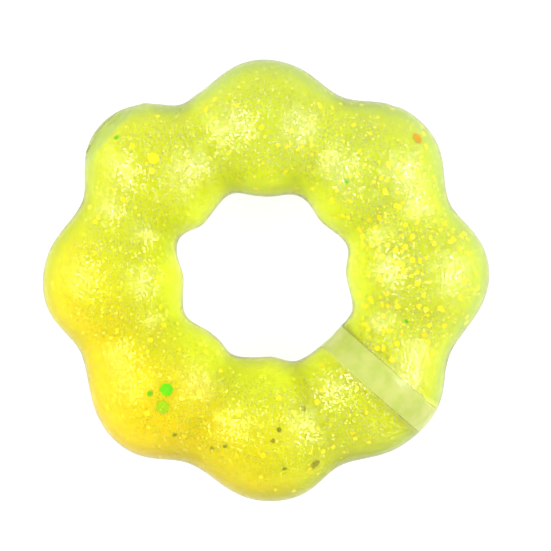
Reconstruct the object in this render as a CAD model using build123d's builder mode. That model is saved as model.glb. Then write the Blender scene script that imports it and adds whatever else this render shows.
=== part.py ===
from build123d import *
import os
from math import cos, radians, sin, sqrt

# A soft squeeze ring. A beaded tube of clear elastomer is bent into a ring, filled with yellow
# gel that carries glitter flakes, and closed by a clear plug across its narrowest bead.
# A clear stopper closes the filling hole in the outer wall of another bead.
#
# Millimetres. The ring lies flat. Its axis is +Z, the origin is on that axis in the plane that
# the ring rests on, and the first bead points along +X. Angles run counter-clockwise.

# Ring
OUTER_DIAMETER = 90.0
BEADS = 8
BEAD_RADIUS = 14.25
WAIST_RADIUS = 11.1
WAIST_CENTRE_RADIUS = 29.2
NECK_FILLET = 5.0
WALL = 1.6
REST_FLAT_DEPTH = 0.6  # how far the ring's own weight presses each bead flat

# The bead that holds the joint is a little narrower, and sits a little further out
PLUG_BEAD_NUMBER = 7
PLUG_BEAD_RADIUS = 13.3
PLUG_BEAD_CENTRE_RADIUS = 31.0
PLUG_ANGLE = 318.7
PLUG_LENGTH = 5.6  # along the tube, between its two ends
PLUG_SLAB = 55.0  # wider than the tube, but clear of the other side of the ring

# Stopper in the outer wall: a head, a neck and an inner flange
FILL_ANGLE = 135.0
STOPPER_HEAD_RADIUS = 6.0
STOPPER_NECK_RADIUS = 4.6
STOPPER_FLANGE_RADIUS = 5.8
STOPPER_SEAT_DEPTH = 1.9  # below the bead's outermost point
STOPPER_DEPTH = 4.0

# Glitter. A flake's size is the radius of the circle through its corners
GOLD_FLAKE = 0.55
GOLD_FLAKE_COUNT = 48
SMALL_FLAKE = 0.6
LARGE_FLAKE = 1.35
FLAKE_THICKNESS = 0.1
GOLDEN_ANGLE = 137.508
GOLDEN_RATIO = 0.618034
GOLD_SPREAD = 15.0  # width of the band of ring radii that holds the gold flakes
GOLD_DEPTH = 0.9
JOINT_CLEARANCE = 8.0  # degrees on each side of the joint with no gold flakes

# Worked out from the dimensions above
BEAD_CENTRE_RADIUS = OUTER_DIAMETER / 2 - BEAD_RADIUS
CENTRE_HEIGHT = BEAD_RADIUS - REST_FLAT_DEPTH
BEAD_PITCH = 360 / BEADS
SPAN = 2 * OUTER_DIAMETER  # wider than the ring, for cutting

os.makedirs("parts", exist_ok=True)


def finish(builder, name):
    """Label a finished piece and write its STEP file."""
    builder.part.label = name
    export_step(builder.part, f"parts/{name}.step")


def bead_size(number):
    """Centre radius and tube radius of one bead."""
    if number == PLUG_BEAD_NUMBER:
        return PLUG_BEAD_CENTRE_RADIUS, PLUG_BEAD_RADIUS
    return BEAD_CENTRE_RADIUS, BEAD_RADIUS


def beaded_ring(inset):
    """The whole beaded ring, with no joint, inset from the outer surface."""
    with BuildPart(Plane.XY.offset(CENTRE_HEIGHT)) as ring:
        Torus(WAIST_CENTRE_RADIUS, WAIST_RADIUS - inset)
        for number in range(BEADS):
            centre_radius, radius = bead_size(number)
            # Each sphere's seam is kept clear of the cuts. The joint's has its poles along the tube
            turned = (90, 0, 0) if number == PLUG_BEAD_NUMBER else (0, 0, 180)
            with PolarLocations(centre_radius, 1, start_angle=number * BEAD_PITCH):
                Sphere(radius - inset, rotation=turned)
        necks = ring.edges().filter_by(lambda edge: edge.is_closed)
        fillet(necks, NECK_FILLET)
    return ring


def across_tube(angle):
    """Plane across the tube at a ring angle, its normal along the tube."""
    outward = Vector(cos(radians(angle)), sin(radians(angle)), 0)
    along = Vector(-sin(radians(angle)), cos(radians(angle)), 0)
    centre = outward * WAIST_CENTRE_RADIUS + Vector(0, 0, CENTRE_HEIGHT)
    return Plane(origin=centre, x_dir=outward, z_dir=along)


def into_bead(angle):
    """Plane on a bead's outermost point, its normal pointing into the bead."""
    outward = Vector(cos(radians(angle)), sin(radians(angle)), 0)
    pole = outward * (OUTER_DIAMETER / 2) + Vector(0, 0, CENTRE_HEIGHT)
    return Plane(origin=pole, x_dir=Vector(0, 0, 1), z_dir=-outward)


def short_rod(plane, radius, start, end):
    """A round rod on a plane, from one depth to another."""
    with BuildPart(plane.offset(start)) as rod:
        Cylinder(radius, end - start, align=(Align.CENTER, Align.CENTER, Align.MIN))
    return rod


outer_ring = beaded_ring(0)
bore_ring = beaded_ring(WALL)

with BuildPart(across_tube(PLUG_ANGLE)) as joint_slice:
    Box(PLUG_SLAB, PLUG_SLAB, PLUG_LENGTH)


# Joint plug: a solid slice as wide as the tube, bonded between the two ends of the skin
with BuildPart() as joint_plug:
    add(outer_ring.part)
    add(joint_slice.part, mode=Mode.INTERSECT)
finish(joint_plug, "joint_plug")


# Fill stopper: its head and neck pass through the wall, flush with the bead, and its flange
# lies inside against the bore
stopper_plane = into_bead(FILL_ANGLE)

with BuildPart() as stopper_head:
    add(short_rod(stopper_plane, STOPPER_HEAD_RADIUS, -1, STOPPER_SEAT_DEPTH).part)
    add(short_rod(stopper_plane, STOPPER_NECK_RADIUS, 0, STOPPER_DEPTH).part)
    add(outer_ring.part, mode=Mode.INTERSECT)

with BuildPart() as stopper_flange:
    add(short_rod(stopper_plane, STOPPER_FLANGE_RADIUS, 0, STOPPER_DEPTH).part)
    add(bore_ring.part, mode=Mode.INTERSECT)

with BuildPart() as fill_stopper:
    add(stopper_head.part)
    add(stopper_flange.part)
finish(fill_stopper, "fill_stopper")


# Skin: the wall between the ring and its bore, open at the joint and at the stopper, and flat
# where the beads rest
with BuildPart() as bead_skin:
    add(outer_ring.part)
    add(bore_ring.part, mode=Mode.SUBTRACT)
    add(joint_slice.part, mode=Mode.SUBTRACT)
    add(fill_stopper.part, mode=Mode.SUBTRACT)
    Box(SPAN, SPAN, SPAN, align=(Align.CENTER, Align.CENTER, Align.MAX), mode=Mode.SUBTRACT)
finish(bead_skin, "bead_skin")


def gel_surface(angle, radius, depth):
    """Point under the gel's upper surface at a ring angle and radius, and the way out of it."""
    x = radius * cos(radians(angle))
    y = radius * sin(radians(angle))
    offset = radius - WAIST_CENTRE_RADIUS
    tube = WAIST_RADIUS - WALL - depth
    hub_x = WAIST_CENTRE_RADIUS * cos(radians(angle))
    hub_y = WAIST_CENTRE_RADIUS * sin(radians(angle))
    height = sqrt(max(tube**2 - offset**2, 0))
    for number in range(BEADS):
        centre_radius, bead_radius = bead_size(number)
        bead_x = centre_radius * cos(radians(number * BEAD_PITCH))
        bead_y = centre_radius * sin(radians(number * BEAD_PITCH))
        ball = bead_radius - WALL - depth
        bead_height = sqrt(max(ball**2 - (x - bead_x) ** 2 - (y - bead_y) ** 2, 0))
        if bead_height > height:
            height = bead_height
            hub_x = bead_x
            hub_y = bead_y
    return Vector(x, y, height), Vector(x - hub_x, y - hub_y, height).normalized()


def flake(angle, radius, size, depth=0.3, tilt=0.0, spin=0.0, underside=False):
    """Location of a flake in the gel, tangent to its surface unless it is tilted."""
    point, outward = gel_surface(angle, radius, depth)
    if underside:
        point = Vector(point.X, point.Y, -point.Z)
        outward = Vector(outward.X, outward.Y, -outward.Z)
    point = point + Vector(0, 0, CENTRE_HEIGHT)
    along = Vector(-sin(radians(angle)), cos(radians(angle)), 0)
    lie = Location(Plane(origin=point, x_dir=along, z_dir=outward))
    return lie * Location((0, 0, 0), (tilt, 0, spin)), size


def flakes(places):
    """Thin hexagonal flakes, one at each place."""
    with BuildPart() as group:
        for location, size in places:
            with BuildSketch(Plane(location)):
                RegularPolygon(size, 6)
            extrude(amount=-FLAKE_THICKNESS)
    return group


def gold_places():
    """Gold flakes spread over the ring by the golden angle, above and below in turn."""
    places = []
    for number in range(GOLD_FLAKE_COUNT):
        angle = (number * GOLDEN_ANGLE) % 360
        share = (number * GOLDEN_RATIO) % 1
        radius = WAIST_CENTRE_RADIUS + GOLD_SPREAD * (share - 0.5)
        below = number % 2 == 1
        if abs(angle - PLUG_ANGLE) > JOINT_CLEARANCE:
            places.append(flake(angle, radius, GOLD_FLAKE, GOLD_DEPTH, spin=angle, underside=below))
    return places


gold_flakes = flakes(gold_places())
finish(gold_flakes, "gold_flakes")

# Two large green flakes, the second partly under the first
green_hexes = flakes([
    flake(228.3, 29.6, LARGE_FLAKE),
    flake(231.3, 32.7, LARGE_FLAKE, depth=0.6),
])
finish(green_hexes, "green_hexes")

green_flakes = flakes([
    flake(225.0, 32.4, SMALL_FLAKE),
    flake(49.9, 25.3, SMALL_FLAKE),
    flake(136.7, 40.7, SMALL_FLAKE),
    flake(343.3, 29.5, SMALL_FLAKE),
])
finish(green_flakes, "green_flakes")

# One tilted orange flake near the surface, and one deeper
orange_hexes = flakes([
    flake(43.3, 42.3, LARGE_FLAKE, depth=0.55, tilt=-20.0),
    flake(133.2, 32.6, LARGE_FLAKE, depth=2.5),
])
finish(orange_hexes, "orange_hexes")

bronze_flakes = flakes([
    flake(239.6, 36.0, SMALL_FLAKE),
    flake(252.8, 35.5, SMALL_FLAKE),
    flake(256.7, 34.3, SMALL_FLAKE),
    flake(284.9, 38.4, 2 * SMALL_FLAKE, depth=0.8, tilt=35.0),
    flake(285.7, 27.2, SMALL_FLAKE),
    flake(275.1, 30.2, SMALL_FLAKE),
    flake(272.7, 32.3, SMALL_FLAKE),
    flake(275.6, 38.0, SMALL_FLAKE),
])
finish(bronze_flakes, "bronze_flakes")


# Gel: fills the bore from one side of the plug to the other, round the stopper and the flakes
with BuildPart() as gel_core:
    add(bore_ring.part)
    add(joint_slice.part, mode=Mode.SUBTRACT)
    add(fill_stopper.part, mode=Mode.SUBTRACT)
    add(gold_flakes.part, mode=Mode.SUBTRACT)
    add(green_hexes.part, mode=Mode.SUBTRACT)
    add(green_flakes.part, mode=Mode.SUBTRACT)
    add(orange_hexes.part, mode=Mode.SUBTRACT)
    add(bronze_flakes.part, mode=Mode.SUBTRACT)
finish(gel_core, "gel_core")
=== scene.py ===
from math import cos, pi, radians, sin

import bmesh
import bpy
import numpy as np
from mathutils import Matrix, Vector
from mathutils.bvhtree import BVHTree


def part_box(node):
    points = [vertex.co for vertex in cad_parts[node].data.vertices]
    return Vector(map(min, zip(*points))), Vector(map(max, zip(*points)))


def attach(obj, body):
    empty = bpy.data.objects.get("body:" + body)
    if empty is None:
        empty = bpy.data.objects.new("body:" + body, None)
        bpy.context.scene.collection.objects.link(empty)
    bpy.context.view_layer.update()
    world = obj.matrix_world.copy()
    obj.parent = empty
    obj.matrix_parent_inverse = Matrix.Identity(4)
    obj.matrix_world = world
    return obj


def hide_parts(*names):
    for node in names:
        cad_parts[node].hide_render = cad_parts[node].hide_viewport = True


# A soft squeeze ring: a beaded tube of clear elastomer, filled with yellow glitter gel and closed
# by a clear plug, with a clear stopper in the outer wall of one bead.
#
# Sizes are in millimetres and angles in degrees, counter-clockwise from +X, until they are
# turned into metres. MM and the height of the tube's centre come from the CAD skin.

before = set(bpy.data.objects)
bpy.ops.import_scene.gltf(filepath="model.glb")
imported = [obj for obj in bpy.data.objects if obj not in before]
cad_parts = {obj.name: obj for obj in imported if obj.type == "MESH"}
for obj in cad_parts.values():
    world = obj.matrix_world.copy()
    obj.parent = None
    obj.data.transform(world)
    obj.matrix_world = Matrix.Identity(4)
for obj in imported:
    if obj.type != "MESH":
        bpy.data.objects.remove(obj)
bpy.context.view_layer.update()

CAD_OUTER_DIAMETER = 90.0
CAD_BEAD_RADIUS = 14.25
skin_low, skin_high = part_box("bead_skin")
MM = (skin_high.x - skin_low.x) / CAD_OUTER_DIAMETER
CENTRE_HEIGHT = skin_high.z / MM - CAD_BEAD_RADIUS

# The ring is soft, so each bead is a little different: how far it leans round the ring, the
# ring radius of its centre, and its own radius
BEADS = [
    (2.0, 30.9, 14.5),
    (0.0, 30.5, 14.4),
    (0.0, 30.5, 14.0),
    (2.5, 31.3, 14.5),
    (2.0, 31.0, 14.4),
    (2.5, 30.3, 14.7),
    (3.0, 30.7, 14.7),
    (1.5, 31.0, 13.3),
]
# The waist after each bead: the ring radius of its centre, and its own radius
WAISTS = [
    (29.1, 11.4),
    (29.0, 11.0),
    (29.1, 10.7),
    (29.9, 10.6),
    (29.2, 11.3),
    (28.8, 12.0),
    (29.5, 11.5),
    (29.6, 10.9),
]
BEAD_PITCH = 360 / len(BEADS)
CENTRE_FULLNESS = 0.09  # how much fuller each bead is than a plain wave
TUBE_FULLNESS = 0.145

# Small waves of a soft moulding: height, waves round the ring, waves round the tube, and phase
WAVES = [
    (0.05, 11, 2, 0.7),
    (0.04, 19, -3, 2.1),
]
# A dent and a lip before the stopper, and a mould mark, all on the outward side: height, ring
# angle, width on each side, and how narrow it is round the tube
MARKS = [
    (-0.85, 117.0, 7.5, 2),
    (0.25, 124.8, 1.8, 4),
    (-0.22, 53.5, 1.5, 6),
]
REST_SOFTNESS = 0.45  # how gently the ring goes flat where it rests
GEL_LIFT = 0.8  # the share of an inset that is left under the gel where the ring rests

WALL = 1.6
BOND = 0.03  # overlap of pieces that are bonded, so that no air gap shows between them
PLUG_ANGLE = 318.7
PLUG_LENGTH = 5.6
PLUG_RIM = 0.02
STOPPER_ANGLE = 135.0
STOPPER_TWIST = 4.0  # it sits slightly crooked in the bead
STOPPER_HEAD = 6.0
STOPPER_HEAD_EDGE = 0.3
STOPPER_HEAD_SINK = 0.02  # below the skin's surface
STOPPER_NECK = 4.6
STOPPER_FLANGE = 5.8
STOPPER_FLANGE_EDGE = 0.2
# Depths below the bead's outermost point
STOPPER_RIM = 1.6
STOPPER_SEAT = 2.5
STOPPER_NECK_END = 2.7
STOPPER_FLANGE_START = 3.2
STOPPER_DEPTH = 4.0

RING_STEPS = 440
TUBE_STEPS = 88
LATHE_STEPS = 96
HEAD_LOOPS = 8
SHARP_ANGLE = 40.0
CLEAR_OF_SKIN = 20.0  # farther than the stopper's head ever is from the skin

# Glitter: where the flakes lie, and where they don't
RICH_MIDDLE = 5.0  # the ring angle that has the most flakes
RICH_SPREAD = 33.0
JOINT_CLEARANCE = 8.0
STOPPER_CLEARANCE = 14.0
STOPPER_SIDE_CLEARANCE = 40.0
SHALLOWEST = 0.05  # how far flakes stand in the skin, above the gel
DEEPEST = 0.16

# Clear elastomer
ELASTOMER_IOR = 1.34
SIDE_IOR = 1.14
BONDED_IOR = 1.0
GRAIN_SIZE = 0.3
GRAIN_HEIGHT = 0.14
PATCH_SIZE = 2.5
REFLECTION_TINT = (1.0, 1.0, 1.0, 1.0)
WARM_REFLECTION_TINT = (1.0, 1.0, 0.45, 1.0)
BOND_TOLERANCE = 0.01

# Gel
WARM_SIDE_ANGLE = 228.0
CLOUD_SIZE = 9.0
CLOUD_REACH = 16.0  # how far clouds carry the warm colour, to and fro
MOTTLE_SIZE = 1.6
LIT_EDGE_LENGTH = 1.1
GLITTER_CELL = 0.3
GLITTER_SHARE = 0.5
GLITTER_RADIUS = 0.42  # in cells
GLITTER_TILT = 0.34
GLITTER_METAL = 0.65

# Film
FILM_ROUGHNESS = 0.35
FILM_GRAIN_SIZE = 0.35

# Studio
FLOOR_HALF = 900.0
FLOOR_GREY = (0.25, 0.25, 0.25, 1.0)
FLOOR_GLOW = 0.87
WHITE = (1.0, 1.0, 1.0, 1.0)
SURROUND = 0.94
OVERHEAD = 0.93
SOFTBOX_STRENGTH = 9.0
SOFTBOX_DISTANCE = 500.0
SOFTBOX_SLANT = 52.0
SOFTBOX_LEAN = 0.06
SOFTBOX_WIDTH = 400.0
SOFTBOX_HEIGHT = 420.0
CAMERA_HEIGHT = 600.0
SENSOR_WIDTH = 36.0
VIEW_WIDTH = 112.0
VIEW_CENTRE = (2.0, 0.55)


# The beaded tube

def smooth_bump(value, centre, width):
    """A bump of height 1 that falls to 0 at width on each side of its centre."""
    share = np.clip(np.abs(value - centre) / width, 0, 1)
    return (1 + np.cos(pi * share)) / 2


def ring_section(angle):
    """Ring radius of the tube's centre, and the tube's radius, at each ring angle."""
    angle = np.asarray(angle, float)
    centre = np.zeros_like(angle)
    tube = np.zeros_like(angle)
    for number, (lean, bead_centre, bead_radius) in enumerate(BEADS):
        peak = number * BEAD_PITCH + lean
        away = (angle - peak + 180) % 360 - 180
        before = BEAD_PITCH / 2 + lean
        after = BEAD_PITCH / 2 - lean
        sides = [
            ((away >= 0) & (away < after), after, WAISTS[number]),
            ((away < 0) & (away >= -before), before, WAISTS[number - 1]),
        ]
        for chosen, reach, (waist_centre, waist_radius) in sides:
            share = np.abs(away) / reach
            falloff = (1 + np.cos(pi * share)) / 2
            fullness = 1 - np.cos(2 * pi * share)
            centre_here = waist_centre + (bead_centre - waist_centre) * falloff + CENTRE_FULLNESS * fullness
            tube_here = waist_radius + (bead_radius - waist_radius) * falloff + TUBE_FULLNESS * fullness
            centre = np.where(chosen, centre_here, centre)
            tube = np.where(chosen, tube_here, tube)
    return centre, tube


def unevenness(angle, round_angle):
    """How far the surface stands out from a plain tube."""
    ring = np.radians(angle)
    tube = np.radians(round_angle)
    outward = np.clip(np.cos(tube), 0, 1)
    height = 0.0
    for size, round_ring, round_tube, phase in WAVES:
        height = height + size * np.sin(round_ring * ring + round_tube * tube + phase)
    for size, place, width, narrowness in MARKS:
        height = height + size * smooth_bump(angle, place, width) * outward**narrowness
    return height


def pressed(height, floor):
    """Heights with everything below a floor pressed flat on to it."""
    above = height - floor
    return floor + (above + np.sqrt(above**2 + REST_SOFTNESS**2)) / 2


def tube_points(angle, round_angle, inset=0.0):
    """Points, in millimetres, on the beaded tube's surface or inset from it."""
    angle, round_angle = np.broadcast_arrays(np.asarray(angle, float), np.asarray(round_angle, float))
    centre, tube = ring_section(angle)
    radius = tube - inset + unevenness(angle % 360, round_angle)
    reach = centre + radius * np.cos(np.radians(round_angle))
    height = CENTRE_HEIGHT + radius * np.sin(np.radians(round_angle))
    floor = min(inset, WALL) * GEL_LIFT
    return np.stack([
        reach * np.cos(np.radians(angle)),
        reach * np.sin(np.radians(angle)),
        pressed(height, floor),
    ], axis=-1)


def tube_normals(angle, round_angle, inset=0.0, step=0.3):
    """Outward directions of the surface at those points."""
    along = tube_points(angle + step, round_angle, inset) - tube_points(angle - step, round_angle, inset)
    around = tube_points(angle, round_angle + step, inset) - tube_points(angle, round_angle - step, inset)
    normal = np.cross(along, around)
    return normal / np.linalg.norm(normal, axis=-1, keepdims=True)


def joint_angle(distance, round_angle, inset=0.0):
    """How far round from the joint each point of the tube is, at a distance from its mid-plane."""
    centre, tube = ring_section(PLUG_ANGLE)
    reach = centre + (tube - inset) * np.cos(np.radians(round_angle))
    return np.degrees(np.arcsin(distance / reach))


# Mesh building

def link_mesh(name, vertices, faces, sharp_angle=SHARP_ANGLE):
    """A mesh object from millimetre points, smooth but for its sharp edges."""
    mesh = bpy.data.meshes.new(name)
    mesh.from_pydata((np.asarray(vertices) * MM).tolist(), [], faces)
    mesh.validate()
    mesh.shade_smooth()
    mesh.set_sharp_from_angle(angle=radians(sharp_angle))
    piece = bpy.data.objects.new(name, mesh)
    bpy.context.scene.collection.objects.link(piece)
    return piece


def grid_faces(columns, rows, offset=0, flip=False):
    """Quads between columns of points. Each column is a closed loop of rows."""
    faces = []
    for column in range(columns - 1):
        for row in range(rows):
            following = (row + 1) % rows
            corners = [
                offset + column * rows + row,
                offset + (column + 1) * rows + row,
                offset + (column + 1) * rows + following,
                offset + column * rows + following,
            ]
            faces.append(corners[::-1] if flip else corners)
    return faces


def end_faces(columns):
    """A face over the first column of points and one over the last, each turned outward."""
    last_column = (columns - 1) * TUBE_STEPS
    first = list(range(TUBE_STEPS))
    last = [last_column + row for row in reversed(range(TUBE_STEPS))]
    return [first, last]


def lathed(name, profile, origin, axis):
    """A solid turned about an axis from (radius, depth) pairs. The first and last are on it."""
    side = Vector((0, 0, 1))
    across = axis.cross(side)
    vertices = [origin + axis * profile[0][1]]
    for radius, depth in profile[1:-1]:
        for step in range(LATHE_STEPS):
            turn = 2 * pi * step / LATHE_STEPS
            vertices.append(origin + axis * depth + (side * cos(turn) + across * sin(turn)) * radius)
    vertices.append(origin + axis * profile[-1][1])
    loops = len(profile) - 2
    faces = grid_faces(loops, LATHE_STEPS, 1)
    last = len(vertices) - 1
    last_loop = 1 + (loops - 1) * LATHE_STEPS
    for step in range(LATHE_STEPS):
        following = (step + 1) % LATHE_STEPS
        faces.append([0, 1 + step, 1 + following])
        faces.append([last, last_loop + following, last_loop + step])
    return link_mesh(name, [list(vertex) for vertex in vertices], faces)


def turn_faces_outward(piece):
    """Turn every face of a closed mesh outward."""
    editing = bmesh.new()
    editing.from_mesh(piece.data)
    bmesh.ops.recalc_face_normals(editing, faces=editing.faces)
    editing.to_mesh(piece.data)
    editing.free()


def cut(piece, cutter):
    """Cut one solid from another, and remove the cutter."""
    change = piece.modifiers.new("cut", "BOOLEAN")
    change.operation = "DIFFERENCE"
    change.solver = "EXACT"
    change.object = cutter
    bpy.context.view_layer.update()
    shaped = piece.evaluated_get(bpy.context.evaluated_depsgraph_get())
    result = bpy.data.meshes.new_from_object(shaped)
    piece.modifiers.clear()
    before = piece.data
    piece.data = result
    bpy.data.meshes.remove(before)
    piece.data.shade_smooth()
    piece.data.set_sharp_from_angle(angle=radians(SHARP_ANGLE))
    bpy.data.objects.remove(cutter)


# Skin, gel and plug

def open_ring(gap, inset):
    """Columns of points round the tube from one side of the joint to the other."""
    around = np.arange(TUBE_STEPS) * 360 / TUBE_STEPS
    share = np.linspace(0, 1, RING_STEPS)[:, None]
    away = joint_angle(gap, around, inset)[None, :]
    angle = PLUG_ANGLE + away + share * (360 - 2 * away)
    return tube_points(angle, around[None, :], inset)


def build_skin():
    """The elastomer skin: an outer and an inner surface, joined at its two open ends."""
    outer = open_ring(PLUG_LENGTH / 2, 0.0)
    inner = open_ring(PLUG_LENGTH / 2, WALL)
    vertices = np.concatenate([outer.reshape(-1, 3), inner.reshape(-1, 3)])
    first_inner = RING_STEPS * TUBE_STEPS
    faces = grid_faces(RING_STEPS, TUBE_STEPS)
    faces += grid_faces(RING_STEPS, TUBE_STEPS, first_inner, flip=True)
    last_column = (RING_STEPS - 1) * TUBE_STEPS
    for row in range(TUBE_STEPS):
        following = (row + 1) % TUBE_STEPS
        faces.append([row, following, first_inner + following, first_inner + row])
        faces.append([
            last_column + following,
            last_column + row,
            first_inner + last_column + row,
            first_inner + last_column + following,
        ])
    return link_mesh("bead_skin_soft", vertices, faces)


def build_gel():
    """The gel, which touches the bore all over and stops at the plug's two ends."""
    columns = open_ring(PLUG_LENGTH / 2 - BOND, WALL - BOND)
    faces = grid_faces(RING_STEPS, TUBE_STEPS) + end_faces(RING_STEPS)
    return link_mesh("gel_core_soft", columns.reshape(-1, 3), faces)


def build_plug():
    """The joint plug: a slice as wide as the tube, with a slightly rounded rim."""
    around = np.arange(TUBE_STEPS) * 360 / TUBE_STEPS
    half_length = PLUG_LENGTH / 2 + BOND
    stations = [
        (-half_length, PLUG_RIM),
        (-half_length + PLUG_RIM, 0.0),
        (-PLUG_LENGTH / 4, 0.0),
        (0.0, 0.0),
        (PLUG_LENGTH / 4, 0.0),
        (half_length - PLUG_RIM, 0.0),
        (half_length, PLUG_RIM),
    ]
    columns = []
    for distance, inset in stations:
        angle = PLUG_ANGLE + joint_angle(distance, around, inset)
        columns.append(tube_points(angle, around, inset))
    faces = grid_faces(len(stations), TUBE_STEPS) + end_faces(len(stations))
    return link_mesh("joint_plug_soft", np.concatenate(columns), faces)


# Fill stopper

def stopper_frame():
    """The bead's outermost point on the stopper's axis, and the axis, into the bead."""
    number = round(STOPPER_ANGLE / BEAD_PITCH)
    lean, bead_centre, bead_radius = BEADS[number]
    towards = radians(number * BEAD_PITCH + lean)
    facing = radians(STOPPER_ANGLE + STOPPER_TWIST)
    outward = Vector((cos(facing), sin(facing), 0))
    middle = Vector((cos(towards), sin(towards), 0)) * bead_centre + Vector((0, 0, CENTRE_HEIGHT))
    return middle + outward * bead_radius, -outward


def head_profile(radius):
    """The stopper's outer face, which follows the bead's round surface."""
    bead_radius = BEADS[round(STOPPER_ANGLE / BEAD_PITCH)][2]
    places = []
    for step in range(HEAD_LOOPS + 1):
        here = radius * step / HEAD_LOOPS
        places.append((here, bead_radius - (bead_radius**2 - here**2) ** 0.5 + BOND))
    return places


def lay_on_skin(piece, axis):
    """Move the stopper's outer face on to the skin's outer surface."""
    surface = BVHTree.FromObject(skin, bpy.context.evaluated_depsgraph_get())
    for vertex in piece.data.vertices[:1 + HEAD_LOOPS * LATHE_STEPS]:
        start = vertex.co - axis * CLEAR_OF_SKIN * MM
        hit = surface.ray_cast(start, axis)[0]
        if hit is not None:
            vertex.co = hit + axis * STOPPER_HEAD_SINK * MM


def build_stopper(origin, axis):
    """The fill stopper: a head and a neck through the wall, and a flange inside the bore."""
    outer_face = head_profile(STOPPER_HEAD - STOPPER_HEAD_EDGE)
    rim_depth = outer_face[-1][1] + STOPPER_HEAD_EDGE
    profile = outer_face + [
        (STOPPER_HEAD, rim_depth),
        (STOPPER_NECK, STOPPER_SEAT),
        (STOPPER_NECK, STOPPER_NECK_END),
        (STOPPER_FLANGE, STOPPER_FLANGE_START),
        (STOPPER_FLANGE, STOPPER_DEPTH - STOPPER_FLANGE_EDGE),
        (STOPPER_FLANGE - STOPPER_FLANGE_EDGE, STOPPER_DEPTH),
        (0.0, STOPPER_DEPTH),
    ]
    piece = lathed("fill_stopper_soft", profile, origin, axis)
    lay_on_skin(piece, axis)
    return piece


def make_hole(piece, sides, origin, axis):
    """A round hole from outside the bead, with its sides through (radius, depth) pairs."""
    outside = -6.0
    top = [(0.0, outside), (sides[0][0], outside)]
    bottom = (0.0, sides[-1][1])
    cutter = lathed("cutter", [*top, *sides, bottom], origin, axis)
    turn_faces_outward(cutter)
    cut(piece, cutter)


skin = build_skin()
gel = build_gel()
plug = build_plug()
pole, stopper_axis = stopper_frame()
stopper = build_stopper(pole, stopper_axis)
for closed in (skin, gel, plug, stopper):
    turn_faces_outward(closed)
make_hole(skin, [
    (STOPPER_HEAD - BOND, STOPPER_RIM),
    (STOPPER_NECK - BOND, STOPPER_SEAT),
    (STOPPER_NECK - BOND, STOPPER_FLANGE_START),
], pole, stopper_axis)
make_hole(gel, [(STOPPER_FLANGE - BOND, STOPPER_DEPTH - BOND)], pole, stopper_axis)


# Glitter flakes: real hexagonal pieces of film, lying where the gel meets the skin

def flake_mesh(name, flakes, thickness=0.06):
    """Hexagonal flakes from (point, normal, spin, radius) rows, all in millimetres."""
    vertices = []
    faces = []
    for point, normal, spin, radius in flakes:
        normal = Vector(normal)
        side = normal.orthogonal().normalized()
        across = normal.cross(side)
        first = len(vertices)
        for level in (0, -thickness):
            for corner in range(6):
                turn = radians(60 * corner) + spin
                offset = (side * cos(turn) + across * sin(turn)) * radius + normal * level
                vertices.append([point[axis] + offset[axis] for axis in range(3)])
        faces.append([first + corner for corner in range(6)])
        faces.append([first + 6 + corner for corner in reversed(range(6))])
        for corner in range(6):
            following = (corner + 1) % 6
            faces.append([first + corner, first + 6 + corner, first + 6 + following, first + following])
    return link_mesh(name, vertices, faces, sharp_angle=20.0)


def round_angle_at(angle, ring_radius, inset):
    """Where round the tube's upper side a ring radius is reached."""
    centre, tube = ring_section(angle)
    share = np.clip((ring_radius - centre) / (tube - inset), -1, 1)
    return float(np.degrees(np.arccos(share)))


def placed_flake(angle, ring_radius, radius, lift=0.08, tilt=0.0, spin=0.0):
    """One flake on the gel's upper side, tilted about the tube's direction."""
    inset = WALL - lift
    around = round_angle_at(angle, ring_radius, inset)
    point = tube_points(angle, around, inset)
    normal = Vector(tube_normals(angle, around, inset).tolist())
    along = Vector((-sin(radians(angle)), cos(radians(angle)), 0))
    normal = Matrix.Rotation(radians(tilt), 3, along) @ normal
    return point.tolist(), normal, radians(spin), radius


def scattered(count, smallest, largest, seed, rich_share, tilt):
    """Flakes scattered over the gel, with a share of them in the three beads at the right."""
    chance = np.random.default_rng(seed)
    rows = []
    while len(rows) < count:
        if chance.random() < rich_share:
            angle = chance.normal(RICH_MIDDLE, RICH_SPREAD)
        else:
            angle = chance.uniform(0, 360)
        from_plug = abs((angle - PLUG_ANGLE + 180) % 360 - 180)
        if from_plug < JOINT_CLEARANCE:
            continue
        around = chance.uniform(0, 360)
        # Fewer on the tube's sides
        if abs(cos(radians(around))) > chance.uniform(0.6, 1.1):
            continue
        from_outside = abs((around + 180) % 360 - 180)
        if abs(angle - STOPPER_ANGLE) < STOPPER_CLEARANCE and from_outside < STOPPER_SIDE_CLEARANCE:
            continue
        inset = WALL - chance.uniform(SHALLOWEST, DEEPEST)
        point = tube_points(angle, around, inset)
        normal = tube_normals(angle, around, inset) + chance.normal(0, tilt, 3)
        normal = normal / np.linalg.norm(normal)
        spin = chance.uniform(0, pi)
        rows.append((point.tolist(), normal.tolist(), spin, chance.uniform(smallest, largest)))
    return rows


gold = flake_mesh(
    "gold_flakes_film",
    scattered(480, smallest=0.34, largest=0.66, seed=7, rich_share=0.55, tilt=0.08),
)
dust = flake_mesh(
    "gold_dust_film",
    scattered(2600, smallest=0.14, largest=0.26, seed=11, rich_share=0.25, tilt=0.16),
    thickness=0.04,
)
# Two large green flakes, one partly under the other
green_hexes = flake_mesh("green_hexes_film", [
    placed_flake(228.3, 29.6, 1.36, lift=0.16, spin=10),
    placed_flake(231.3, 32.7, 1.36, lift=0.07, spin=30),
])
green = flake_mesh("green_flakes_film", [
    placed_flake(225.0, 32.4, 0.62, lift=0.12),
    placed_flake(49.9, 25.3, 0.5, lift=0.12),
    placed_flake(136.7, 40.7, 0.55, lift=0.12),
    placed_flake(343.3, 29.5, 0.5, lift=0.12),
])
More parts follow.
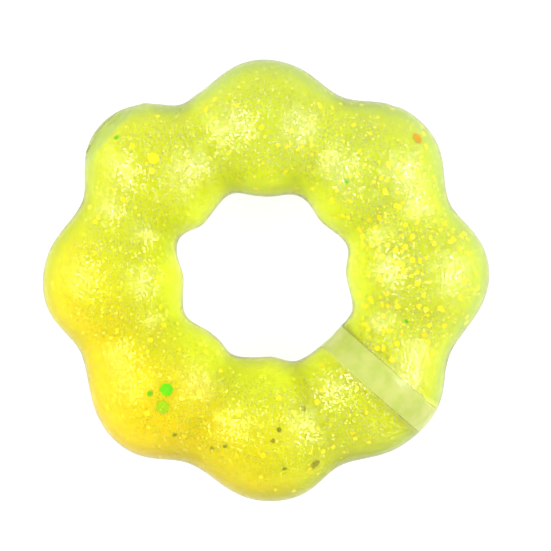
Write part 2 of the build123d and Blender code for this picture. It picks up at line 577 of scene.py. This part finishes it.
# One tilted orange flake near the surface, and a yellower one lower down
orange = flake_mesh("orange_hexes_film", [
    placed_flake(42.7, 41.1, 1.15, lift=0.3, tilt=-16, spin=15),
    placed_flake(133.2, 32.6, 1.2, lift=0.05),
])
bronze = flake_mesh("bronze_flakes_film", [
    placed_flake(239.6, 36.0, 0.5),
    placed_flake(252.8, 35.5, 0.5),
    placed_flake(256.7, 34.3, 0.45),
    placed_flake(284.9, 38.4, 1.1, lift=0.3, tilt=18),
    placed_flake(285.7, 27.2, 0.6),
    placed_flake(275.1, 30.2, 0.55),
    placed_flake(272.7, 32.3, 0.5),
    placed_flake(275.6, 38.0, 0.45),
])


# Node trees

class Nodes:
    """An empty node tree, with short ways to add and join its nodes."""

    def __init__(self, tree):
        self.tree = tree
        self.tree.nodes.clear()

    def add(self, kind, **settings):
        node = self.tree.nodes.new(kind)
        for key, value in settings.items():
            setattr(node, key, value)
        return node

    def join(self, source, target):
        self.tree.links.new(source, target)

    def fill(self, socket, value):
        """A number, a colour or another node's output into a socket."""
        if isinstance(value, bpy.types.NodeSocket):
            self.join(value, socket)
        else:
            socket.default_value = value

    def place(self):
        """The place on the object."""
        return self.add("ShaderNodeTexCoord").outputs["Object"]

    def normal(self):
        """The surface's own direction."""
        return self.add("ShaderNodeNewGeometry").outputs["Normal"]

    def part_of(self, vector, axis):
        """One of a vector's X, Y and Z."""
        node = self.add("ShaderNodeSeparateXYZ")
        self.join(vector, node.inputs[0])
        return node.outputs[axis]

    def math(self, operation, first, second=0.0):
        node = self.add("ShaderNodeMath", operation=operation)
        self.fill(node.inputs[0], first)
        self.fill(node.inputs[1], second)
        return node.outputs[0]

    def vector(self, operation, first, second=(0, 0, 0)):
        """A vector sum, or a number where the operation gives one."""
        node = self.add("ShaderNodeVectorMath", operation=operation)
        self.fill(node.inputs[0], first)
        self.fill(node.inputs[1], second)
        gives_number = operation in ("DOT_PRODUCT", "DISTANCE", "LENGTH")
        return node.outputs["Value" if gives_number else "Vector"]

    def scaled(self, vector, factor):
        node = self.add("ShaderNodeVectorMath", operation="SCALE")
        self.join(vector, node.inputs[0])
        self.fill(node.inputs["Scale"], factor)
        return node.outputs["Vector"]

    def along(self, vector, angle):
        """How far a place is in a level direction, in millimetres."""
        facing = radians(angle)
        return self.vector("DOT_PRODUCT", vector, (cos(facing) / MM, sin(facing) / MM, 0))

    def spread(self, value, low, high, to_low=0.0, to_high=1.0):
        """A value smoothly carried from one range to another."""
        node = self.add("ShaderNodeMapRange", interpolation_type="SMOOTHSTEP")
        self.fill(node.inputs["Value"], value)
        self.fill(node.inputs["From Min"], low)
        self.fill(node.inputs["From Max"], high)
        self.fill(node.inputs["To Min"], to_low)
        self.fill(node.inputs["To Max"], to_high)
        return node.outputs["Result"]

    def mixed(self, factor, first, second):
        node = self.add("ShaderNodeMix", data_type="RGBA")
        self.fill(node.inputs["Factor"], factor)
        self.fill(node.inputs["A"], first)
        self.fill(node.inputs["B"], second)
        return node.outputs["Result"]

    def noise(self, coordinates, size, detail=2.0):
        """Soft noise with features of a size in millimetres."""
        node = self.add("ShaderNodeTexNoise")
        self.join(coordinates, node.inputs["Vector"])
        node.inputs["Scale"].default_value = 1 / (size * MM)
        node.inputs["Detail"].default_value = detail
        return node.outputs["Fac"]

    def cells(self, coordinates, size):
        """Random cells of a size in millimetres: distance to each middle, and a random colour."""
        node = self.add("ShaderNodeTexVoronoi")
        self.join(coordinates, node.inputs["Vector"])
        node.inputs["Scale"].default_value = 1 / (size * MM)
        return node.outputs["Distance"], node.outputs["Color"]

    def shader(self, **inputs):
        """The surface's shader, with an underscore for each space in its sockets' names."""
        node = self.add("ShaderNodeBsdfPrincipled")
        for key, value in inputs.items():
            self.fill(node.inputs[key.replace("_", " ")], value)
        output = self.add("ShaderNodeOutputMaterial")
        self.join(node.outputs["BSDF"], output.inputs["Surface"])


def new_material(name):
    """A new material and its nodes."""
    material = bpy.data.materials.new(name)
    material.use_nodes = True
    return material, Nodes(material.node_tree)


def linear(red, green, blue):
    """A display colour, 0 to 255, as the linear colour that Blender's sockets take."""
    channels = []
    for value in (red, green, blue):
        share = value / 255
        channels.append(share / 12.92 if share <= 0.04045 else ((share + 0.055) / 1.055) ** 2.4)
    return (*channels, 1.0)


GREEN_YELLOW = linear(192, 205, 50)
PLAIN_YELLOW = linear(202, 208, 14)
WARM_YELLOW = linear(230, 204, 0)
DEEP_YELLOW = linear(203, 209, 0)
# Colours for the tube's sides: partly the thicker skin's paler look, partly painted shade
PALE_SIDE_SHADE = linear(157, 179, 84)
PLAIN_SIDE_SHADE = linear(158, 168, 12)
WARM_SIDE_SHADE = linear(200, 174, 0)
# Painted light, for the side round the hole and for the necks
INNER_PAINTED_LIGHT = linear(214, 224, 44)
# Painted light at the gel's two ends, beside the plug
LIT_EDGE = linear(240, 246, 96)
CLEAR_ZONE = linear(152, 172, 94)
GLITTER = linear(252, 250, 205)
WARM_GLITTER = linear(255, 246, 95)
SKIN_TINT = linear(253, 254, 244)
STOPPER_TINT = linear(250, 252, 216)
PLUG_HAZE = linear(188, 194, 106)
PLUG_DEEP_HAZE = linear(174, 188, 90)


# Places that the materials depend on

def warm_share(nodes, place):
    """0 on most of the ring, rising to 1 towards its warmest side."""
    return nodes.spread(nodes.along(place, WARM_SIDE_ANGLE), 4, 36)


def from_joint(nodes, place):
    """Distance from the joint's mid-plane, in millimetres, and 1 on the joint's side of the ring."""
    off = nodes.along(place, PLUG_ANGLE + 90)
    reach = nodes.along(place, PLUG_ANGLE)
    return nodes.math("ABSOLUTE", off), nodes.math("GREATER_THAN", reach, 0.0)


def into_stopper(nodes, place):
    """Depth below the stopper's outermost point, and distance from its axis, in millimetres."""
    start = nodes.vector("SUBTRACT", place, tuple(pole * MM))
    axis = tuple(stopper_axis / MM)
    depth = nodes.vector("DOT_PRODUCT", start, axis)
    aside = nodes.vector("LENGTH", nodes.vector("CROSS_PRODUCT", start, axis))
    return depth, aside


def skin_bonds(nodes, place):
    """1 where the skin is bonded to the plug or to the stopper, 0 on its free surfaces."""
    off, this_side = from_joint(nodes, place)
    on_end = nodes.math("LESS_THAN", off, PLUG_LENGTH / 2 + BOND_TOLERANCE)
    at_joint = nodes.math("MULTIPLY", on_end, this_side)
    depth, aside = into_stopper(nodes, place)
    in_hole = nodes.math("LESS_THAN", aside, STOPPER_HEAD - BOND + BOND_TOLERANCE)
    near = nodes.math("LESS_THAN", depth, STOPPER_DEPTH + 1)
    return nodes.math("MAXIMUM", at_joint, nodes.math("MULTIPLY", in_hole, near))


def plug_bonds(nodes, place):
    """1 on the plug's two bonded ends."""
    off = from_joint(nodes, place)[0]
    return nodes.math("GREATER_THAN", off, PLUG_LENGTH / 2 + BOND_TOLERANCE)


def stopper_bonds(nodes, place):
    """1 on the stopper's bonded surfaces, below its outer face."""
    depth = into_stopper(nodes, place)[0]
    return nodes.math("GREATER_THAN", depth, STOPPER_RIM - 0.05)


def bonded_ior(nodes, index, bonded):
    """A refractive index that becomes 1 where there is no air gap to refract at."""
    drop = nodes.math("MULTIPLY", bonded, nodes.math("SUBTRACT", BONDED_IOR, index))
    return nodes.math("ADD", index, drop)


# Materials

def clear_material(name, tint, roughness, bonds):
    """Clear elastomer with a fine satin grain, a little less glossy towards the tube's sides."""
    material, nodes = new_material(name)
    place = nodes.place()
    facing = nodes.math("ABSOLUTE", nodes.part_of(nodes.normal(), "Z"))
    index = nodes.spread(facing, 0.4, 0.88, SIDE_IOR, ELASTOMER_IOR)
    patches = nodes.noise(place, PATCH_SIZE)
    grain = nodes.add("ShaderNodeBump")
    grain.inputs["Distance"].default_value = GRAIN_HEIGHT * MM
    nodes.join(nodes.noise(place, GRAIN_SIZE), grain.inputs["Height"])
    nodes.shader(
        Base_Color=tint,
        Roughness=nodes.spread(patches, 0.3, 0.7, roughness * 0.8, roughness * 1.2),
        IOR=bonded_ior(nodes, index, bonds(nodes, place)),
        Transmission_Weight=1.0,
        Specular_Tint=nodes.mixed(warm_share(nodes, place), REFLECTION_TINT, WARM_REFLECTION_TINT),
        Normal=grain.outputs["Normal"],
    )
    return material


def plug_material():
    """Clear elastomer with a haze in it."""
    material, nodes = new_material("clear_plug")
    place = nodes.place()
    haze = nodes.spread(nodes.noise(place, PATCH_SIZE), 0.35, 0.7)
    nodes.shader(
        Base_Color=nodes.mixed(haze, PLUG_HAZE, PLUG_DEEP_HAZE),
        Roughness=0.25,
        IOR=bonded_ior(nodes, ELASTOMER_IOR, plug_bonds(nodes, place)),
        Transmission_Weight=0.25,
        Subsurface_Weight=0.8,
        Subsurface_Radius=(1.0, 1.0, 0.7),
        Subsurface_Scale=1.4 * MM,
        Specular_Tint=REFLECTION_TINT,
    )
    return material


def gel_colour(nodes, place, facing):
    """The gel's colour without its glitter, from a direction's share of up or down."""
    across = nodes.along(place, WARM_SIDE_ANGLE)
    clouds = nodes.math("SUBTRACT", nodes.noise(place, CLOUD_SIZE), 0.5)
    shifted = nodes.math("ADD", across, nodes.math("MULTIPLY", clouds, CLOUD_REACH))
    base = nodes.mixed(nodes.spread(shifted, -42, 5), GREEN_YELLOW, PLAIN_YELLOW)
    base = nodes.mixed(nodes.spread(shifted, 15, 39), base, WARM_YELLOW)
    mottle = nodes.noise(place, MOTTLE_SIZE, 4.0)
    base = nodes.mixed(nodes.spread(mottle, 0.4, 0.75, 0.0, 0.45), base, DEEP_YELLOW)

    # Towards the tube's sides the skin looks thicker: paler, but deeper on the warm side. These side
    # colours are also darker than the rest, which is painted shade on the sides
    side_shade = nodes.mixed(nodes.spread(across, -8, 22), PALE_SIDE_SHADE, PLAIN_SIDE_SHADE)
    side_shade = nodes.mixed(nodes.spread(across, 24, 42), side_shade, WARM_SIDE_SHADE)
    base = nodes.mixed(nodes.spread(facing, 0.75, 0.25, 0.0, 0.8), base, side_shade)

    # Painted light: the side round the hole gets a brighter colour, for light that comes through the tube
    reach = nodes.vector("LENGTH", nodes.vector("MULTIPLY", place, (1 / MM, 1 / MM, 0)))
    base = nodes.mixed(nodes.spread(reach, 26, 19, 0.0, 0.85), base, INNER_PAINTED_LIGHT)

    # Painted light: the necks between the beads get the same brighter colour on the pale side of the ring
    angle = nodes.math("ARCTAN2", nodes.part_of(place, "Y"), nodes.part_of(place, "X"))
    wave = nodes.math("COSINE", nodes.math("MULTIPLY", angle, float(len(BEADS))))
    neck = nodes.math("MULTIPLY", nodes.spread(wave, -0.2, -1.0), nodes.spread(across, 20, -10))
    neck = nodes.math("MULTIPLY", neck, nodes.spread(facing, 0.25, 0.8, 0.1, 0.6))
    base = nodes.mixed(neck, base, INNER_PAINTED_LIGHT)

    # Painted light: the gel's two ends are brighter, for light that reaches them through the plug
    off, this_side = from_joint(nodes, place)
    lit = nodes.spread(off, PLUG_LENGTH / 2 + LIT_EDGE_LENGTH, PLUG_LENGTH / 2, 0.0, 0.8)
    return nodes.mixed(nodes.math("MULTIPLY", lit, this_side), base, LIT_EDGE)


def gel_material():
    """Yellow gel: warmer towards one side of the ring, with fine glitter just under its surface."""
    material, nodes = new_material("glitter_gel")
    place = nodes.place()
    surface = nodes.normal()
    facing = nodes.math("ABSOLUTE", nodes.part_of(surface, "Z"))
    base = gel_colour(nodes, place, facing)

    # Hardly any glitter reaches the gel round the stopper
    depth = into_stopper(nodes, place)[0]
    base = nodes.mixed(nodes.spread(depth, 4.6, 3.2, 0.0, 0.8), base, CLEAR_ZONE)
    glittery = nodes.spread(facing, 0.45, 0.85, 0.1, 1.0)
    glittery = nodes.math("MULTIPLY", glittery, nodes.spread(depth, 3.2, 5.5))

    # Each chosen cell is a tiny flake with its own tilt
    distance, colour = nodes.cells(place, GLITTER_CELL)
    pick = nodes.add("ShaderNodeSeparateColor")
    nodes.join(colour, pick.inputs[0])
    limit = nodes.math("MULTIPLY", glittery, GLITTER_SHARE)
    chosen = nodes.math("LESS_THAN", pick.outputs["Red"], limit)
    inside = nodes.math("LESS_THAN", distance, GLITTER_RADIUS)
    flake = nodes.math("MULTIPLY", chosen, inside)
    spread_out = nodes.vector("SUBTRACT", colour, (0.5, 0.5, 0.5))
    tilt = nodes.scaled(spread_out, nodes.math("MULTIPLY", flake, GLITTER_TILT))
    glitter = nodes.mixed(warm_share(nodes, place), GLITTER, WARM_GLITTER)
    nodes.shader(
        Base_Color=nodes.mixed(nodes.math("MULTIPLY", flake, 0.55), base, glitter),
        Metallic=nodes.math("MULTIPLY", flake, GLITTER_METAL),
        Roughness=nodes.spread(flake, 0.0, 1.0, 0.55, 0.25),
        IOR=1.2,
        Specular_IOR_Level=0.2,
        Normal=nodes.vector("NORMALIZE", nodes.vector("ADD", surface, tilt)),
        Subsurface_Weight=0.8,
        Subsurface_Radius=(1.0, 1.0, 0.35),
        Subsurface_Scale=3.0 * MM,
    )
    return material


def film_material(name, colour, other, metallic=0.1, border=None):
    """Glitter film, each flake with its own shade, or two shades on each side of a border in y."""
    material, nodes = new_material(name)
    place = nodes.place()
    if border is None:
        each = nodes.add("ShaderNodeNewGeometry").outputs["Random Per Island"]
    else:
        each = nodes.math("LESS_THAN", nodes.part_of(place, "Y"), border * MM)
    grain = nodes.noise(place, FILM_GRAIN_SIZE)
    nodes.shader(
        Base_Color=nodes.mixed(each, colour, other),
        Metallic=metallic,
        Roughness=nodes.spread(grain, 0.3, 0.7, FILM_ROUGHNESS * 0.8, FILM_ROUGHNESS * 1.2),
        Specular_IOR_Level=0.1,
    )
    return material


# Each piece, the CAD node that it stands for, its slot, and its material. The dust stands for none
FINISHES = [
    (skin, "bead_skin", "clear_elastomer",
     clear_material("clear_elastomer", SKIN_TINT, 0.1, skin_bonds)),
    (plug, "joint_plug", "clear_plug",
     plug_material()),
    (stopper, "fill_stopper", "clear_plug",
     clear_material("clear_stopper", STOPPER_TINT, 0.2, stopper_bonds)),
    (gel, "gel_core", "glitter_gel",
     gel_material()),
    (gold, "gold_flakes", "gold_film",
     film_material("gold_film", linear(250, 240, 44), linear(246, 224, 10))),
    (dust, None, "gold_film",
     film_material("gold_dust", linear(250, 248, 120), linear(246, 228, 40), metallic=0.2)),
    (green_hexes, "green_hexes", "green_film",
     film_material("green_film", linear(100, 212, 0), linear(160, 206, 6), border=-23.7)),
    (green, "green_flakes", "green_film",
     film_material("green_small", linear(84, 186, 0), linear(120, 190, 10))),
    (orange, "orange_hexes", "orange_film",
     film_material("orange_film", linear(196, 146, 0), linear(255, 232, 18), border=26.0)),
    (bronze, "bronze_flakes", "bronze_film",
     film_material("bronze_film", linear(164, 150, 8), linear(128, 138, 8))),
]
for piece, node, slot, material in FINISHES:
    piece.data.materials.clear()
    piece.data.materials.append(material)
    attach(piece, "root")
    if node:
        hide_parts(node)


# Studio: a pale, softly glowing floor, an even surround, and a softbox on each side

def backdrop():
    """The pale floor that the ring lies on, lit from below like a light table."""
    corners = [
        (-FLOOR_HALF, -FLOOR_HALF, 0),
        (FLOOR_HALF, -FLOOR_HALF, 0),
        (FLOOR_HALF, FLOOR_HALF, 0),
        (-FLOOR_HALF, FLOOR_HALF, 0),
    ]
    floor = link_mesh("floor", corners, [[0, 1, 2, 3]])
    material, nodes = new_material("pale_floor")
    nodes.shader(
        Base_Color=FLOOR_GREY,
        Roughness=0.9,
        Specular_IOR_Level=0.0,
        Emission_Color=WHITE,
        Emission_Strength=FLOOR_GLOW,
    )
    floor.data.materials.append(material)


def softbox(name, side):
    """A soft light beside the ring, turned to face it, brightest in its middle."""
    light = bpy.data.lights.new(name, "AREA")
    light.shape = "RECTANGLE"
    light.size = SOFTBOX_WIDTH * MM
    light.size_y = SOFTBOX_HEIGHT * MM
    light.energy = 1.0
    light.use_nodes = True
    nodes = Nodes(light.node_tree)
    on_light = nodes.add("ShaderNodeNewGeometry").outputs["Parametric"]
    from_middle = nodes.vector("DISTANCE", on_light, (0.5, 0.5, 0.0))
    glow = nodes.add("ShaderNodeEmission")
    nodes.join(nodes.spread(from_middle, 0.5, 0.08, 0.0, SOFTBOX_STRENGTH), glow.inputs["Strength"])
    output = nodes.add("ShaderNodeOutputLight")
    nodes.join(glow.outputs["Emission"], output.inputs["Surface"])
    box = bpy.data.objects.new(name, light)
    slant = radians(SOFTBOX_SLANT)
    place = Vector((side * sin(slant), SOFTBOX_LEAN, cos(slant))) * SOFTBOX_DISTANCE * MM
    box.location = place
    box.rotation_euler = place.to_track_quat("Z", "Y").to_euler()
    bpy.context.scene.collection.objects.link(box)


def studio_world():
    """White light from all round, and a little less of it from overhead."""
    world = bpy.data.worlds.new("studio")
    world.use_nodes = True
    nodes = Nodes(world.node_tree)
    direction = nodes.add("ShaderNodeTexCoord").outputs["Generated"]
    upward = nodes.part_of(direction, "Z")
    surround = nodes.add("ShaderNodeBackground")
    surround.inputs["Color"].default_value = WHITE
    nodes.join(nodes.spread(upward, 0.55, 0.95, SURROUND, OVERHEAD), surround.inputs["Strength"])
    output = nodes.add("ShaderNodeOutputWorld")
    nodes.join(surround.outputs["Background"], output.inputs["Surface"])
    bpy.context.scene.world = world
    bpy.context.scene.view_settings.view_transform = "Standard"


def overhead_camera():
    """The camera, which looks straight down on the ring."""
    camera_data = bpy.data.cameras.new("camera")
    camera_data.sensor_width = SENSOR_WIDTH
    camera_data.lens = SENSOR_WIDTH * CAMERA_HEIGHT / VIEW_WIDTH
    camera = bpy.data.objects.new("camera", camera_data)
    camera.location = Vector((*VIEW_CENTRE, CENTRE_HEIGHT + CAMERA_HEIGHT)) * MM
    bpy.context.scene.collection.objects.link(camera)
    bpy.context.scene.camera = camera


backdrop()
softbox("softbox_left", -1)
softbox("softbox_right", 1)
studio_world()
overhead_camera()
